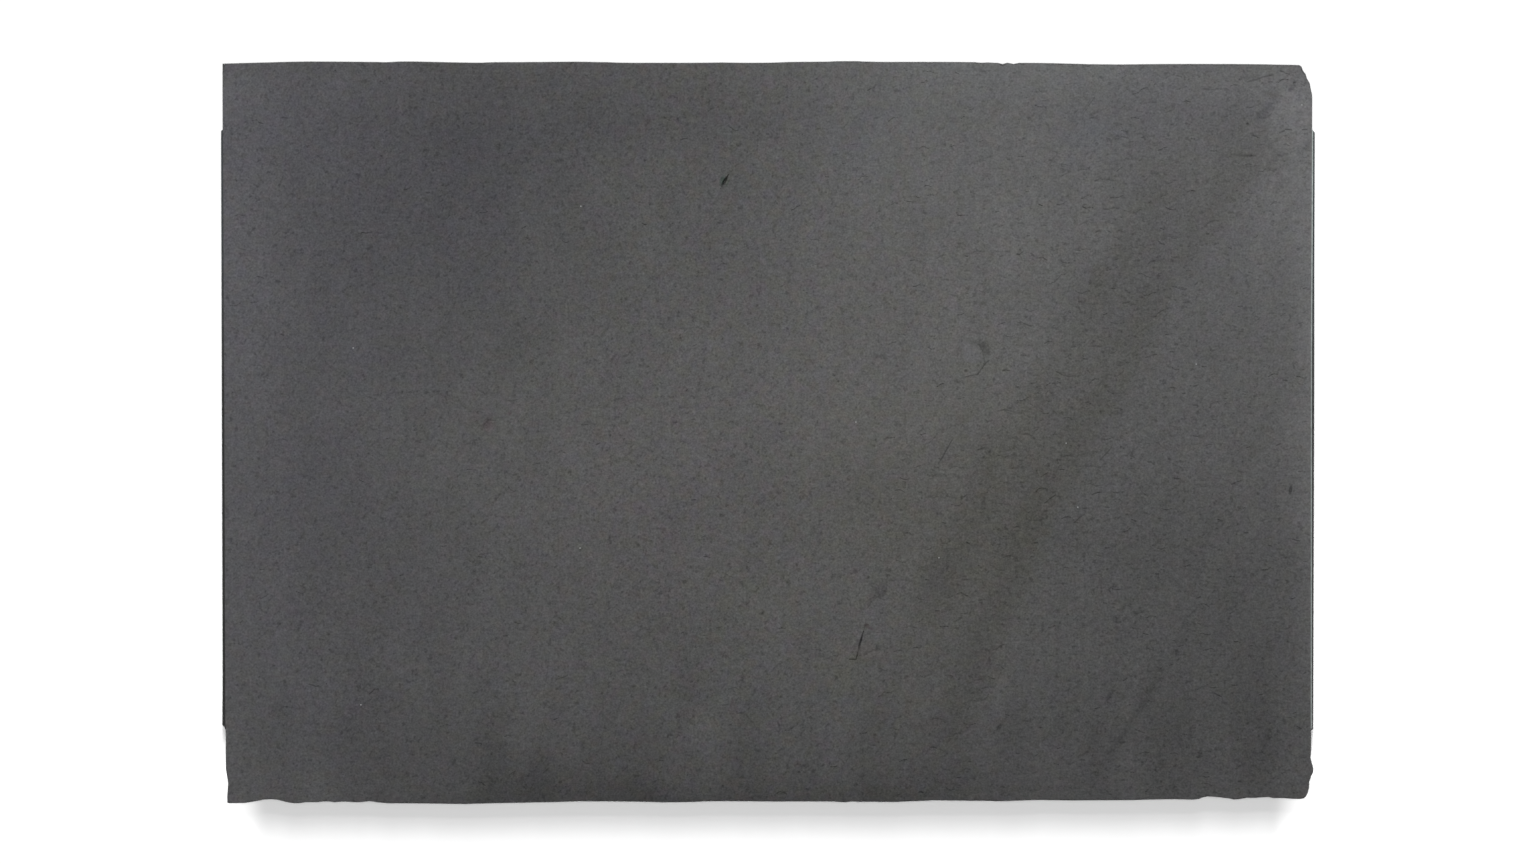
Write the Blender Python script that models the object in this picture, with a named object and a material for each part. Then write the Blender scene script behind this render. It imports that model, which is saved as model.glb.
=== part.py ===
"""Slate slab: one large plate of dark slate, lying flat on its sawn back.

Metres, +Z up. +X runs along the length and +Y across the width, and the split face looks up.
The origin is on the back, under the middle of the slab.

The plate is one solid. Its outline is written as insets from the LENGTH x WIDTH rectangle: two
sawn flanks at the left and right, a split edge along the top and a rough, broken edge along the
bottom, with three corners knocked off. The flanks are built as a stack of loops, one pair for
each lamina of the stone, and each lamina stands a little further in or out than the next.
"""

import math

import bmesh
import bpy
from mathutils import Vector, noise
from mathutils.geometry import delaunay_2d_cdt

MM = 0.001

# Driving dimensions.
LENGTH = 2.700
WIDTH = 1.834
THICKNESS = 0.030

# The outline, counter-clockwise from the top left corner, in millimetres inside the rectangle.
# The left and right flanks hold (y, inset), the long edges hold (x, inset).
LEFT_FLANK = [(911, 3.2), (750, 3.8), (743, 3.8), (739, 3.9), (43, 7.6), (-700, 10.1), (-722, 10.6),
              (-730, 10.9), (-737, 11.2), (-744, 11.3), (-830, 11.6), (-848, 14.6), (-865, 17.3),
              (-897, 14.8)]
BOTTOM_EDGE = [(-1335, 2.6), (-1326, 2.0), (-1291, 2.7), (-1276, 5.0), (-1261, 7.7), (-1247, 10.9),
               (-1232, 12.1), (-1214, 11.1), (-1202, 8.4), (-1182, 3.7), (-1168, 2.0), (-1155, 2.5),
               (-1143, 4.7), (-1111, 4.7), (-1098, 6.4), (-1084, 6.4), (-1069, 4.7), (-1049, 6.4),
               (-1032, 5.4), (-1012, 4.5), (-1000, 5.4), (-985, 7.2), (-970, 5.4), (-955, 3.2),
               (-938, 2.0), (-859, 1.7), (-785, 0.5), (-748, 0.0), (-711, 1.3), (-662, 2.3),
               (-575, 4.0), (-521, 5.0), (-476, 6.6), (-390, 6.6), (-304, 5.5), (-254, 4.2),
               (-185, 5.2), (-155, 6.7), (-106, 7.2), (5, 6.4), (153, 6.4), (190, 4.5), (207, 6.4),
               (220, 5.4), (252, 5.7), (316, 5.0), (338, 6.2), (375, 7.7), (412, 9.1), (486, 8.2),
               (536, 7.9), (563, 7.1), (592, 7.4), (622, 8.7), (671, 10.0), (745, 8.9), (795, 9.4),
               (894, 9.8), (943, 11.1), (1000, 12.1), (1049, 10.8), (1064, 12.6), (1074, 16.5),
               (1086, 18.8), (1106, 17.5), (1136, 14.3), (1150, 11.1), (1170, 13.1), (1182, 15.3),
               (1205, 15.1), (1219, 16.5), (1237, 17.3), (1247, 14.8), (1274, 14.6), (1294, 12.8)]
RIGHT_CORNER_LOW = [(-904.5, 34.3), (-903, 26.9), (-897, 21.0), (-887, 16.8), (-877, 14.1),
                    (-862, 13.6), (-848, 8.9), (-838, 3.9), (-829, 3.4), (-813, 7.9), (-803, 10.8),
                    (-783, 9.1)]
RIGHT_FLANK = [(-744, 9.1), (-737, 9.4), (-732, 9.6), (-728, 9.8), (-700, 10.0), (190, 9.6),
               (737, 6.8), (741, 6.7), (750, 6.7), (826, 6.4)]
RIGHT_CORNER_HIGH = [(836, 7.1), (849.4, 10.3), (863, 12.8), (874, 19.5), (885.2, 22.7),
                     (893.9, 29.3), (903.8, 33.0)]
TOP_EDGE = [(1311, 9.6), (1252, 8.4), (1190, 7.4), (1042, 6.9), (943, 7.4), (869, 8.1), (795, 7.4),
            (746, 6.1), (696, 4.9), (620, 4.2), (606, 6.9), (591, 3.9), (579, 6.9), (568, 4.4),
            (543, 3.2), (526, 3.9), (511, 2.5), (400, 1.8), (272, 1.8), (220, 0.0), (168, 0.2),
            (148, 1.2), (54, 2.0), (5, 3.8), (-69, 3.9), (-114, 3.2), (-168, 3.9), (-348, 3.9),
            (-390, 2.7), (-439, 1.8), (-474, 1.2), (-563, 2.0), (-686, 2.7), (-706, 3.8),
            (-790, 2.7), (-859, 1.0), (-908, 0.8), (-943, 2.7), (-970, 2.0), (-1126, 0.8),
            (-1217, 2.5), (-1279, 4.2)]
OUTLINE_STEP = 42 * MM  # the longest stretch between two points of a split or broken edge
SAWN_STEP = 84 * MM  # and of a sawn flank

# How ragged each kind of edge is, as a share of LAMINA_RAGGED.
SAWN, SPLIT, BROKEN = 0.12, 0.55, 1.0

# The saw stopped short of the back on both flanks, and the last layers snapped off further out.
# Each ledge holds (y, inset) of its outer line, which runs straight between them.
LEFT_LEDGE = [(743, 0.0), (-600, 4.0), (-730, 3.2)]
RIGHT_LEDGE = [(741, 0.0), (-732, 5.2)]
LEDGE_HEIGHT = 14 * MM
LEDGE_END = 5 * MM  # the ledge grows to its full reach over this length of the flank

# Laminae of the flanks: the joints between them, from the face down to the back.
JOINTS = [24 * MM, 18.5 * MM, LEDGE_HEIGHT, 6 * MM]
JOINT_GAP = 0.5 * MM
LAMINA_RAGGED = 6.0 * MM  # how far a lamina of a broken edge may stand back from the outline
LAMINA_WAVE = 85 * MM
ARRIS = 1.3 * MM
BACK_ARRIS = 1.6 * MM

# Points of the face and the back, inside the outline.
FACE_GRID = 72 * MM
BACK_GRID = 300 * MM
RIM_MARGIN = 48 * MM

# The face's own relief. It reaches THICKNESS at its highest swell.
SWELLS = [(0.62, 0.55 * MM, 3.1), (0.21, 0.30 * MM, 7.7)]  # (wavelength, height, noise plane)
HIGHEST_SWELL = 0.565 * MM

# Hollows in the face: (x, y, half length, half width, turn in degrees, depth, wall share, lean).
# The wall takes that share of the radius; lean 1 makes the floor slope to one long side.
HOLLOWS = {
    "lens_void": (-107, 620, 16.5, 4.6, 60, 5.0, 0.75, 0.0),
    "flake_scar": (506, 184, 45, 30, 100, 1.6, 0.16, 1.0),
    "small_scar": (-693, 21, 18, 8, 58, 0.8, 0.8, 0.0),
    "edge_nick": (1290, -142, 16, 5, 80, 1.2, 0.8, 0.0),
}
# A hairline that opens into a crack, in millimetres, with its half width and depth.
CRACK = [(200, -559), (218, -561), (221, -549), (228, -521), (233, -508), (240, -480), (243, -454)]
CRACK_HALF_WIDTH = 1.6 * MM
CRACK_DEPTH = 2.5 * MM
# A thin flake lost from the top right corner: the line where it starts, and the fall beyond it.
SPALL_LINE = [(1323, 870), (1219, 759)]
SPALL_SLOPE = 0.024
SPALL_REACH = 120 * MM
SPALL_DEPTH = 2.6 * MM
SPALL_FADE = 190 * MM

SLATE = {"colour": (0.075, 0.074, 0.077, 1.0), "roughness": 0.62, "metallic": 0.0}


def smooth(t):
    """0 up to t = 0, 1 from t = 1, and an S-curve between."""
    t = min(max(t, 0.0), 1.0)
    return t * t * (3 - 2 * t)


# --- The face's relief ----------------------------------------------------------------------


def hollow_depth(x, y, hollow):
    """How far one of HOLLOWS lowers the face at (x, y)."""
    cx, cy, half_length, half_width, turn, depth, wall, lean = hollow
    c, s = math.cos(math.radians(turn)), math.sin(math.radians(turn))
    dx, dy = x - cx * MM, y - cy * MM
    along = (dx * c + dy * s) / (half_length * MM)
    across = (dy * c - dx * s) / (half_width * MM)
    slope = 1 - lean * (0.5 + 0.5 * max(-1.0, min(1.0, across)))
    return depth * MM * slope * smooth((1 - math.hypot(along, across)) / wall)


def distance_to_line(x, y, points):
    """The distance from (x, y) to a polyline in millimetres, as metres."""
    here, nearest = Vector((x, y)), 1e9
    for start, end in zip(points, points[1:]):
        a, b = Vector(start) * MM, Vector(end) * MM
        t = max(0.0, min(1.0, (here - a).dot(b - a) / (b - a).length_squared))
        nearest = min(nearest, (here - a.lerp(b, t)).length)
    return nearest


def spall_drop(x, y):
    """How far the lost corner flake lowers the face at (x, y)."""
    start, end = (Vector(p) * MM for p in SPALL_LINE)
    run = (end - start).normalized()
    offset = Vector((x, y)) - start
    beyond = run.x * offset.y - run.y * offset.x
    past_end = offset.dot(run) - (end - start).length
    fade = 1 - smooth(past_end / SPALL_FADE)
    return min(max(beyond, 0.0) * SPALL_SLOPE, SPALL_DEPTH) * fade * smooth(2 - beyond / SPALL_REACH)


def face_height(x, y):
    """The height of the split face over the back at (x, y)."""
    height = THICKNESS - HIGHEST_SWELL
    for wavelength, swell, plane in SWELLS:
        height += swell * noise.noise(Vector((x / wavelength, y / wavelength, plane)))
    for hollow in HOLLOWS.values():
        height -= hollow_depth(x, y, hollow)
    height -= CRACK_DEPTH * max(0.0, 1 - distance_to_line(x, y, CRACK) / CRACK_HALF_WIDTH)
    return height - spall_drop(x, y)


# --- The outline ----------------------------------------------------------------------------


def curve_through(points, step):
    """A Catmull-Rom curve through the points, with no stretch longer than step."""
    found = []
    for i in range(len(points) - 1):
        a, b = points[i], points[i + 1]
        before = points[i - 1] if i else a + (a - b)
        after = points[i + 2] if i + 2 < len(points) else b + (b - a)
        pieces = max(1, math.ceil((b - a).length / step))
        for k in range(pieces):
            t = k / pieces
            found.append(0.5 * (2 * a + (b - before) * t
                                + (2 * before - 5 * a + 4 * b - after) * t ** 2
                                + (3 * a - before - 3 * b + after) * t ** 3))
    return found + [points[-1]]


def straight_through(points, step):
    """The same with straight stretches."""
    found = []
    for a, b in zip(points, points[1:]):
        pieces = max(1, math.ceil((b - a).length / step))
        found += [a.lerp(b, k / pieces) for k in range(pieces)]
    return found + [points[-1]]


def outline():
    """The face's outline, counter-clockwise, as a list of (point, raggedness of its edge)."""
    half_length, half_width = LENGTH / 2, WIDTH / 2
    left = [Vector((inset * MM - half_length, y * MM)) for y, inset in LEFT_FLANK]
    bottom = [Vector((x * MM, inset * MM - half_width)) for x, inset in BOTTOM_EDGE]
    corner_low = [Vector((half_length - inset * MM, y * MM)) for y, inset in RIGHT_CORNER_LOW]
    right = [Vector((half_length - inset * MM, y * MM)) for y, inset in RIGHT_FLANK]
    corner_high = [Vector((half_length - inset * MM, y * MM)) for y, inset in RIGHT_CORNER_HIGH]
    top = [Vector((x * MM, half_width - inset * MM)) for x, inset in TOP_EDGE]

    edges = [(straight_through(left, SAWN_STEP), SAWN), (curve_through(bottom, OUTLINE_STEP), BROKEN),
             (corner_low, BROKEN), (straight_through(right, SAWN_STEP), SAWN), (corner_high, BROKEN),
             (curve_through(top, OUTLINE_STEP), SPLIT)]
    return [(point, ragged) for points, ragged in edges for point in points]


def outward_normals(points):
    """The mean normal of the two stretches that meet at each point of a closed outline."""
    found = []
    for i, point in enumerate(points):
        along = (points[(i + 1) % len(points)] - points[i - 1]).normalized()
        found.append(Vector((along.y, -along.x)))
    return found


# --- The flanks -----------------------------------------------------------------------------


def ledge_line(y, ledge):
    """The inset of a ledge's outer line at y, or None beyond its ends."""
    for (y_high, inset_high), (y_low, inset_low) in zip(ledge, ledge[1:]):
        if y_low * MM <= y <= y_high * MM:
            t = (y_high * MM - y) / ((y_high - y_low) * MM)
            return (inset_high + (inset_low - inset_high) * t) * MM
    return None


def on_ledge(point):
    """The point moved out to the ledge of its flank, or as it is where there is no ledge."""
    side = math.copysign(1, point.x)
    if LENGTH / 2 - abs(point.x) > 15 * MM:
        return point
    ledge = RIGHT_LEDGE if side > 0 else LEFT_LEDGE
    inset = ledge_line(point.y, ledge)
    if inset is None:
        return point
    from_end = min(ledge[0][0] * MM - point.y, point.y - ledge[-1][0] * MM)
    grown = smooth(0.15 + from_end / LEDGE_END)
    outer = LENGTH / 2 - inset
    return Vector((side * (abs(point.x) + (outer - abs(point.x)) * grown), point.y))


def lamina_loop(points, normals, ragged, lamina):
    """The outline of one lamina: each stands back by its own slow noise along the edge."""
    found = []
    for point, normal, share in zip(points, normals, ragged):
        place = Vector((point.x / LAMINA_WAVE, point.y / LAMINA_WAVE, 5.3 * lamina))
        back = LAMINA_RAGGED * share * (0.5 + 0.5 * noise.noise(place)) if lamina else 0.0
        moved = point - normal * back
        found.append(on_ledge(moved) if lamina >= JOINTS.index(LEDGE_HEIGHT) + 1 else moved)
    return found


def flank_loops(points, ragged):
    """The stack of closed loops from the face's rim down to the back, as lists of 3D points."""
    normals = outward_normals(points)
    rim = [p - n * ARRIS * (0.6 + share) for p, n, share in zip(points, normals, ragged)]
    loops = [[(p.x, p.y, face_height(p.x, p.y)) for p in rim]]
    loops.append([(p.x, p.y, face_height(p.x, p.y) - ARRIS) for p in points])
    for lamina, joint in enumerate(JOINTS):
        above = lamina_loop(points, normals, ragged, lamina)
        below = lamina_loop(points, normals, ragged, lamina + 1)
        loops.append([(p.x, p.y, joint + JOINT_GAP) for p in above])
        loops.append([(p.x, p.y, joint) for p in below])
    last = lamina_loop(points, normals, ragged, len(JOINTS))
    loops.append([(p.x, p.y, BACK_ARRIS) for p in last])
    loops.append([(p.x - n.x * BACK_ARRIS, p.y - n.y * BACK_ARRIS, 0.0) for p, n in zip(last, normals)])
    return loops


# --- The face and the back ------------------------------------------------------------------


def hollow_points():
    """Rings of points on each hollow's rim, wall and floor, so that the face can follow it."""
    found = []
    for cx, cy, half_length, half_width, turn, _, wall, _ in HOLLOWS.values():
        c, s = math.cos(math.radians(turn)), math.sin(math.radians(turn))
        for radius, count in ((1.0, 18), (1 - 0.45 * wall, 12), (1 - 0.9 * wall, 8)):
            for k in range(count):
                angle = 2 * math.pi * (k + 0.5 * (count == 12)) / count
                a = half_length * radius * math.cos(angle)
                b = half_width * radius * math.sin(angle)
                found.append(Vector(((cx + a * c - b * s) * MM, (cy + a * s + b * c) * MM)))
        found.append(Vector((cx * MM, cy * MM)))
    return found


def crack_points():
    """Points along the crack's floor and its two lips."""
    points = curve_through([Vector(p) * MM for p in CRACK], 14 * MM)
    found = list(points)
    for i, point in enumerate(points[1:-1], 1):
        along = (points[i + 1] - points[i - 1]).normalized()
        side = Vector((-along.y, along.x)) * CRACK_HALF_WIDTH
        found += [point + side, point - side]
    return found


def spall_points():
    """Points along the line where the corner flake starts."""
    start, end = (Vector(p) * MM for p in SPALL_LINE)
    return [start.lerp(end, t) for t in (0.3, 0.5, 0.7, 0.9, 1.1)]


def grid_points(spacing, keep_clear=()):
    """Staggered rows of points inside the rim, away from the points of keep_clear."""
    found = []
    row_height = spacing * math.sqrt(3) / 2
    half_x, half_y = LENGTH / 2 - RIM_MARGIN, WIDTH / 2 - RIM_MARGIN
    rows = round(2 * half_y / row_height)
    columns = round(2 * half_x / spacing)
    for row in range(rows + 1):
        for column in range(columns + 1 - row % 2):
            x = -half_x + 2 * half_x * (column + 0.5 * (row % 2)) / columns
            point = Vector((x, -half_y + 2 * half_y * row / rows))
            if all((point - other).length > 0.3 * spacing for other in keep_clear):
                found.append(point)
    return found


def fill(bm, rim, inner, height):
    """Triangles over the rim's loop of bmesh vertices and the inner points, lifted to height(x, y)."""
    flat = [v.co.xy for v in rim] + inner
    loop = list(range(len(rim)))
    _, _, faces, sources, _, _ = delaunay_2d_cdt(flat, [], [loop], 1, 1e-9)
    verts = rim + [bm.verts.new((p.x, p.y, height(p.x, p.y))) for p in inner]
    for face in faces:
        bm.faces.new([verts[sources[i][0]] for i in face])


def slate_slab():
    """The whole slab, as one closed mesh."""
    points, ragged = zip(*outline())
    bm = bmesh.new()
    loops = [[bm.verts.new(co) for co in loop] for loop in flank_loops(points, ragged)]
    for upper, lower in zip(loops, loops[1:]):
        for i in range(len(upper)):
            j = (i + 1) % len(upper)
            bm.faces.new((upper[i], lower[i], lower[j], upper[j]))
    marks = hollow_points() + crack_points() + spall_points()
    fill(bm, loops[0], marks + grid_points(FACE_GRID, marks), face_height)
    fill(bm, loops[-1], grid_points(BACK_GRID), lambda x, y: 0.0)
    bmesh.ops.recalc_face_normals(bm, faces=bm.faces)
    mesh = bpy.data.meshes.new("slate_slab")
    bm.to_mesh(mesh)
    bm.free()
    mesh.shade_smooth()
    mesh.set_sharp_from_angle(angle=math.radians(28))
    return mesh


def slate_material():
    material = bpy.data.materials.new("slate")
    material.use_nodes = True
    shader = material.node_tree.nodes["Principled BSDF"]
    shader.inputs["Base Color"].default_value = SLATE["colour"]
    shader.inputs["Roughness"].default_value = SLATE["roughness"]
    shader.inputs["Metallic"].default_value = SLATE["metallic"]
    return material


def main():
    for obj in list(bpy.data.objects):
        bpy.data.objects.remove(obj, do_unlink=True)
    slab = bpy.data.objects.new("slate_slab", slate_slab())
    slab.data.materials.append(slate_material())
    bpy.context.scene.collection.objects.link(slab)


main()
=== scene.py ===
"""Looks of a large slate slab, lying on a pale studio floor and seen from straight above.

The frame's one node is a faceted solid. slate_slab_stone replaces it with the same solid at a
finer scale: its flanks are read from the node and split into thinner laminae, and its face has
the swells and hollows of the node, with cracks and thousands of small pits cut in. Colours come
from nodes: soft areas of tone, a brown band, grain, blots, a painted highlight on the arris over
the right ledge, and the darkness of each pit, crack, hollow and ledge, which the mesh carries as
an attribute. That darkness is painted shade, and in the pits and cracks partly the stone's own
dark flecks and streaks.
"""

import math
import random

import bmesh
import bpy
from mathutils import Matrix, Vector, noise
from mathutils.bvhtree import BVHTree
from mathutils.geometry import delaunay_2d_cdt


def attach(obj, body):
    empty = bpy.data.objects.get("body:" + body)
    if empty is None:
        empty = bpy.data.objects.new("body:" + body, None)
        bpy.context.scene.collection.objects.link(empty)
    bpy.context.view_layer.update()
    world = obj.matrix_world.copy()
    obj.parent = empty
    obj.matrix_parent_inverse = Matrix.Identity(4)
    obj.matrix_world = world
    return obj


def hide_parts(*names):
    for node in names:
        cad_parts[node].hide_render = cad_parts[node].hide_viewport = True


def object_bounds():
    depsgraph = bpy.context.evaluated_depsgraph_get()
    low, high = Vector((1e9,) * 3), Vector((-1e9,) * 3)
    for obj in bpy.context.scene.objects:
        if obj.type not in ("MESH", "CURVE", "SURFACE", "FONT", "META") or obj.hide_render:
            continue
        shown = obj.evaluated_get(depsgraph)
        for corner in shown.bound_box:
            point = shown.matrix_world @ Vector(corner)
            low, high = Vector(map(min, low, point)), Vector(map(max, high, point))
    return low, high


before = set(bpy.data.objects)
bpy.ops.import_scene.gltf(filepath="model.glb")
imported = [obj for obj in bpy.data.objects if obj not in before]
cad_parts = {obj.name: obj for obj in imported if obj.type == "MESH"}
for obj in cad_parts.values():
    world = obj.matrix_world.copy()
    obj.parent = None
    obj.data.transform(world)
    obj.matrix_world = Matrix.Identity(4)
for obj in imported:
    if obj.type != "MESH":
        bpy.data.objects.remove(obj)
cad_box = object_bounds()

MM = 0.001
NODE = "slate_slab"

# --- The photographed frame ---

PIXEL = 2.4685 * MM  # one pixel of the 1536-pixel frame, on the slab's face
FRAME_WIDTH = 1536 * PIXEL
VIEW_Y = 1.5 * MM  # the frame's middle is this far up the slab's width
LENS = 200.0
SENSOR = 36.0

# --- Surface ---

# The node's own relief, with the same values.
SWELLS = [(0.62, 0.55 * MM, 3.1), (0.21, 0.30 * MM, 7.7)]  # (wavelength, height, noise plane)
HIGHEST_SWELL = 0.565 * MM
SPALL_LINE = [(1323, 870), (1219, 759)]
SPALL_SLOPE = 0.024
SPALL_REACH = 120 * MM
SPALL_DEPTH = 2.6 * MM
SPALL_FADE = 190 * MM

# Finer swells of the split face, on top of the node's.
RIPPLES = [(0.095, 0.30 * MM, 11.3), (0.038, 0.12 * MM, 17.9)]

# Hollows: (x, y, half length, half width, turn, depth, wall share, lean, darkness), in mm and
# degrees. The first eight values are the node's. The darkness is painted shade in the hollow.
HOLLOWS = [
    (-107, 620, 16.5, 4.6, 60, 5.0, 0.75, 0.0, 0.72),
    (506, 184, 45, 30, 100, 1.6, 0.16, 1.0, 0.0),
    (-693, 21, 18, 8, 58, 0.8, 0.8, 0.0, 0.35),
    (1290, -142, 16, 5, 80, 1.2, 0.8, 0.0, 0.8),
    (530, 214, 14, 9, 60, 0.5, 0.9, 0.0, 0.35),
    (281, -401, 19, 9, 48, 0.6, 0.9, 0.0, 0.2),
    (1184, 762, 4, 4, 0, 1.2, 0.8, 0.0, 0.55),
    (1299, 863, 5, 3, 30, 1.0, 0.8, 0.0, 0.1),
]

# Cracks and streaks: the depth, then knots of (x, y, half width, darkness). In mm. The darkness
# is partly painted shade in the cracks and partly the stone's own dark streaks.
LINES = [
    # the crack, from its short foot up
    (2.5, (201.5, -559.4, 1.3, 0.9), (217, -559.4, 1.4, 0.9), (219.5, -551.5, 1.6, 0.8),
     (222.7, -539, 2.6, 1.1), (226.3, -524, 3.4, 1.6), (229.8, -512, 3.2, 1.6),
     (232.5, -502, 2.2, 1.1), (236, -490, 1.4, 0.7)),
    (0.6, (238, -484, 1.2, 0.2), (243, -454, 1.2, 0.18)),
    (0.4, (244, -435, 1.3, 0.25), (257, -416, 1.3, 0.25), (276, -401, 1.3, 0.25)),
    (0.3, (249, -376, 2.6, 0.6), (270, -384, 3, 0.7), (288, -391, 3, 0.7)),
    (0.3, (294.5, -353, 2.4, 0.6), (293.5, -372, 2.6, 0.4), (290, -396, 3, 0.7)),
    (0.3, (262, -402, 2.6, 0.6), (285, -412, 2.6, 0.5)),
    (0.3, (300, -366, 2, 0.4), (322, -364, 2, 0.4), (344, -366, 1.8, 0.3)),
    # the two tips of the gouge
    (2, (-104, 625, 2.2, 1), (-98, 637, 1.5, 0.9)),
    (2, (-110.5, 614, 2.8, 0.9), (-114, 607, 2, 1), (-116.8, 601.5, 1.3, 0.8)),
    # the flake scar's lower rim
    (0.6, (546, 178, 1.6, 0.5), (534.4, 168, 2.4, 0.9), (530, 161, 2.6, 0.9),
     (524, 153, 3.6, 0.75), (518, 144.5, 3, 0.75), (501, 139.7, 1.7, 0.8),
     (486.3, 137.2, 1.5, 0.7)),
    (0.3, (541, 226, 1.5, 0.22), (545, 205, 1.5, 0.22), (546, 188, 1.5, 0.22)),
    # the small scar on the left
    (0.4, (-672, 29.5, 2, 0.6), (-690, 31, 2.6, 0.7), (-698, 23, 2.6, 0.7), (-703, 14, 2.4, 0.7),
     (-707, 5, 1.8, 0.5)),
    # near the top right corner
    (0.5, (1184, 866, 2.8, 0.8), (1204, 871.5, 3.6, 1.1), (1212, 874, 4.2, 1.4),
     (1222, 878, 3.8, 1), (1234, 880.5, 3.4, 0.9), (1249, 883.5, 2.4, 0.6)),
    (0.4, (1263, 741, 3, 1), (1275, 745, 3.2, 1.2)),
    (0.4, (1277.5, 749, 3.2, 1.3), (1293, 747, 2.8, 1)),
    (0.3, (1319, 748, 2.6, 1), (1331, 748, 2.4, 0.8)),
    (0.3, (1143, 687, 3.6, 0.5), (1165, 684.5, 5.4, 0.9), (1190, 684, 5.4, 0.9),
     (1205, 683.5, 3.6, 0.6)), (0.3, (1259, 684, 4.6, 0.4), (1286, 685.5, 4.4, 0.35)),
    (0.35, (750, 737, 1.5, 0.32), (775, 780, 1.5, 0.32), (805, 826, 1.5, 0.32)),
    (0.25, (775, 789, 1.5, 0.25), (810, 843, 1.5, 0.25)),
    # the larger fissures beside the brown band
    (0.4, (568, 53, 2, 0.6), (583, 56, 2.4, 0.9), (602, 53, 2.2, 0.7), (634, 46, 1.8, 0.4)),
    (0.3, (654, 140, 2.2, 0.7), (671, 142, 2.2, 0.7), (686, 152, 1.8, 0.5)),
    (0.3, (655, 155, 1.8, 0.4), (680, 156, 1.8, 0.5), (704, 154, 1.8, 0.5)),
    (0.4, (711, 151, 2, 0.6), (728, 142, 2.6, 0.8), (745, 138, 2.4, 0.7), (768, 141, 1.8, 0.4)),
    (0.4, (780, -129, 2.4, 0.6), (795, -126, 3, 0.9), (810, -132, 3, 1), (829, -129, 2.2, 0.5)),
    (0.4, (755, -223, 2.6, 0.8), (768, -211, 2.8, 0.9), (783, -201, 2, 0.6)),
    (0.3, (721, -61, 2.2, 0.6), (748, -55, 2.2, 0.7)),
    (0.3, (637, -216, 2, 0.6), (662, -217, 2.2, 0.7), (681, -213, 1.8, 0.5)),
    (0.3, (406, -155, 2, 0.5), (437, -161, 2, 0.6)),
    (0.3, (555, -172, 2, 0.6), (573, -176, 2.2, 0.7), (592, -178, 1.8, 0.5)),
    (0.3, (378, -32, 1.8, 0.4), (397, -26, 2.2, 0.6), (412, -11, 2.2, 0.6), (420, 1, 1.6, 0.4)),
    (0.4, (455, -18, 1.8, 0.8), (444, -36, 2.6, 1), (432, -58, 3.4, 1), (420, -77, 2.8, 0.8)),
    (0.4, (820, -68, 1.8, 0.5), (835, -51, 2.6, 0.9), (848, -37, 1.8, 0.6)),
    # faint streaks
    (0.25, (531, 387, 1.6, 0.2), (560, 441, 1.6, 0.2), (600, 490, 1.6, 0.2)),
    (0.25, (-659, -127, 1.8, 0.18), (-615, -50, 1.8, 0.18), (-580, 33, 1.8, 0.18)),
    (0.25, (1190, -845, 1.6, 0.2), (1240, -740, 1.6, 0.2), (1289, -635, 1.6, 0.2)),
    (0.2, (60, -560, 1.6, 0.16), (120, -470, 1.6, 0.16), (150, -390, 1.6, 0.16)),
    (0.2, (640, 180, 1.6, 0.14), (700, 290, 1.6, 0.14), (730, 360, 1.6, 0.14)),
]

LINE_SPACING = 5 * MM
LINE_TIP = 2 * MM  # the line ends in a point this far past its last knot
LINE_SWING = 0.8 * MM
LINE_ROOM = 1.5 * MM  # what it keeps clear on both sides
LINE_STRENGTH = (0.75, 0.5)  # shares of its depth and darkness: the mean, and the waves of it

# Pale grains: (x, y), in mm.
GRAINS = [(-1024, 209), (1057, 169), (736, -26), (765, -184), (422, -309), (-1005, -672),
          (-464, -285), (-462, 559), (217, 26), (1318, 809)]
GRAIN_RADIUS = 2.2 * MM
GRAIN_RISE = 0.2 * MM

# Pits: (count, length in mm, width in mm, turn in degrees, depth in mm, darkness). The darkness
# is partly painted shade in the pit and partly the stone's own dark fleck.
PITS = {
    "fissure": (120, (16, 46), (3.6, 6.4), (-16, 24), (0.3, 0.7), (0.3, 0.7)),
    "fleck": (3300, (3, 7), (2.6, 5), (-90, 90), (0.2, 0.5), (0.25, 0.7)),
    "tick": (1300, (7, 14), (2.2, 4.0), (-35, 60), (0.2, 0.5), (0.25, 0.65)),
    "dash": (700, (12, 34), (2.6, 5.2), (-20, 22), (0.25, 0.7), (0.4, 1.0)),
}
ALONG_BAND = (-0.36, 0.12)  # how far to the brown band's left and right the fissures lie
PIT_SPAN = (1.34, 0.915)  # how far out in x and y the pits are tried
RIGHT_SIDE = (0.30, 1.33)  # this share of each kind is tried between these two x alone
RIGHT_SHARES = {"fleck": 0.3, "tick": 0.35, "dash": 0.85}
PIT_GAP = 5 * MM  # to what is there already, on top of its width
PIT_MARGIN = 8 * MM  # to the face's rim, in the same way
PIT_BEND = 0.1  # a pit's middle line swings to the side by so much of its length
PIT_WOBBLE = 0.3  # and each knot of it by up to so much of its width
PIT_KNOT = 8 * MM  # one knot for each such stretch of it
PIT_TRIES = 6  # for each pit wanted
SEED = 27

FILL_SPACING = 19 * MM
FILL_ROOM = 5.32 * MM
EDGE_MARGIN = 4 * MM

# --- Flanks ---

OUTLINE_HEIGHT = 25.5 * MM  # the node is as wide here as its face
STATION = 9 * MM
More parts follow.
